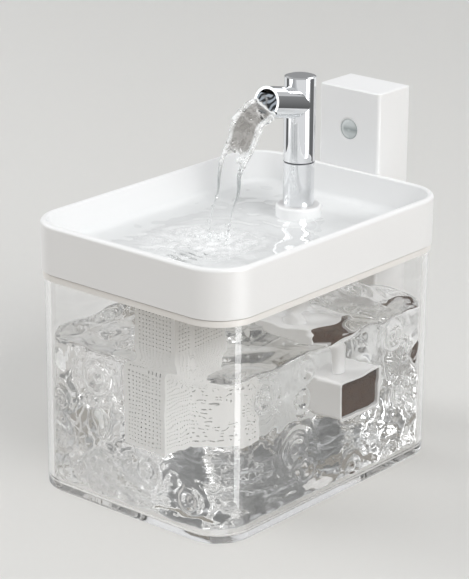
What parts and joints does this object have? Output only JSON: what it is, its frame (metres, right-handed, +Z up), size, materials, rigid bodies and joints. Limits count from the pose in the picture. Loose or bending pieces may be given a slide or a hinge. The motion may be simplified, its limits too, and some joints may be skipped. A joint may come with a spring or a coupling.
{
  "type": "pet water fountain",
  "caption": "Pet water fountain: clear tank, white drinking tray with a chrome swivel faucet, hanging filter basket and pump, and a battery tower with a sensor.",
  "frame": {"origin": "on the floor under the centre of the fountain's bounding box", "axes": "+Z up, the faucet pours towards -Y, the tower stands at +Y, +X is the fountain's right seen from the tower"},
  "size_m": [0.162, 0.2506, 0.2469],
  "materials": {
    "clear_acrylic": "clear moulded acrylic",
    "white_abs": "glossy moulded ABS",
    "cream_abs": "glossy moulded ABS",
    "chrome": "polished plate",
    "white_silicone": "soft matt",
    "grey_silicone": "soft matt",
    "dark_abs": "fine satin",
    "white_acetal": "smooth satin",
    "steel": "bright",
    "nickel": "nickel plate",
    "dark_foam": "open cell foam",
    "filter_foam": "open cell foam",
    "carbon": "granules",
    "resin": "beads",
    "ceramic": "polished",
    "ferrite": "sintered",
    "copper": "enamelled wire",
    "circuit_laminate": "solder mask",
    "cell_wrap": "shrink sleeve",
    "black_abs": "satin",
    "smoked_lens": "polished",
    "light_pipe": "polished"
  },
  "bodies": {
    "tank": {"tank": "clear_acrylic", "tank_feet": "white_silicone", "tank_collar": "cream_abs", "collar_magnets": "nickel", "seal_ring": "white_silicone"},
    "tray": {"drinking_tray": "white_abs", "faucet_base": "white_abs", "base_gasket": "grey_silicone", "nut_washer": "grey_silicone", "base_nut": "white_acetal", "lower_sleeve": "chrome", "swivel_washer": "grey_silicone", "stem_o_rings": "grey_silicone", "retaining_ring": "steel", "riser_tube": "white_abs"},
    "faucet": {"faucet_head": "chrome", "head_cap": "chrome", "swivel_bush": "white_acetal", "spout_insert": "dark_abs"},
    "basket": {"filter_basket": "white_abs", "filter_sponge": "filter_foam", "carbon_pack": "carbon", "resin_pack": "resin"},
    "pump": {"pump_case": "white_abs", "pump_body": "dark_abs", "volute_cover": "dark_abs", "impeller_shaft": "ceramic", "stator_core": "steel", "stator_winding": "copper", "receiver_ferrite": "ferrite", "receiver_coil": "copper"},
    "impeller": {"impeller": "dark_abs", "rotor_magnet": "ferrite"},
    "sponge": {"intake_sponge": "dark_foam"},
    "tower": {"tower_shell": "white_abs", "tower_feet": "white_silicone", "tower_back_cover": "white_abs", "cover_screws": "steel", "sensor_lens": "smoked_lens", "infrared_sensor": "steel", "circuit_board": "circuit_laminate", "board_screws": "steel", "tact_switch": "black_abs", "status_light": "light_pipe", "battery_cells": "cell_wrap", "battery_strips": "steel", "battery_holder": "dark_abs", "charge_board": "circuit_laminate", "usb_socket": "steel", "flap_pin": "steel", "power_leads": "copper", "transmitter_coil": "copper", "transmitter_ferrite": "ferrite", "tower_magnets": "nickel"},
    "button": {"mode_button": "white_abs"},
    "flap": {"port_flap": "white_silicone"}
  },
  "joints": [
    {"name": "tray_lift", "type": "slide", "parent": "tank", "child": "tray", "axis": [0, 0, 1], "range_m": [0, 0.16]},
    {"name": "faucet_swivel", "type": "hinge", "parent": "tray", "child": "faucet", "pos_m": [0, 0.0419, 0.1919], "axis": [0, 0, 1], "range_deg": [-40, 40]},
    {"name": "basket_pull", "type": "slide", "parent": "tray", "child": "basket", "axis": [0, 0, -1], "range_m": [0, 0.028]},
    {"name": "pump_pull", "type": "slide", "parent": "tray", "child": "pump", "axis": [0, 0, -1], "range_m": [0, 0.018]},
    {"name": "impeller_spin", "type": "hinge", "parent": "pump", "child": "impeller", "pos_m": [0, 0.0419, 0.0425], "axis": [1, 0, 0], "continuous": true},
    {"name": "sponge_pull", "type": "slide", "parent": "pump", "child": "sponge", "axis": [1, 0, 0], "range_m": [0, 0.025]},
    {"name": "tower_pull", "type": "slide", "parent": "tank", "child": "tower", "axis": [0, 1, 0], "range_m": [0, 0.05]},
    {"name": "button_press", "type": "slide", "parent": "tower", "child": "button", "axis": [0, -1, 0], "range_m": [0, 0.0008], "stiffness_N_per_m": 600},
    {"name": "flap_swing", "type": "hinge", "parent": "tower", "child": "flap", "pos_m": [0, 0.1245, 0.0156], "axis": [-1, 0, 0], "range_deg": [0, 100]}
  ]
}
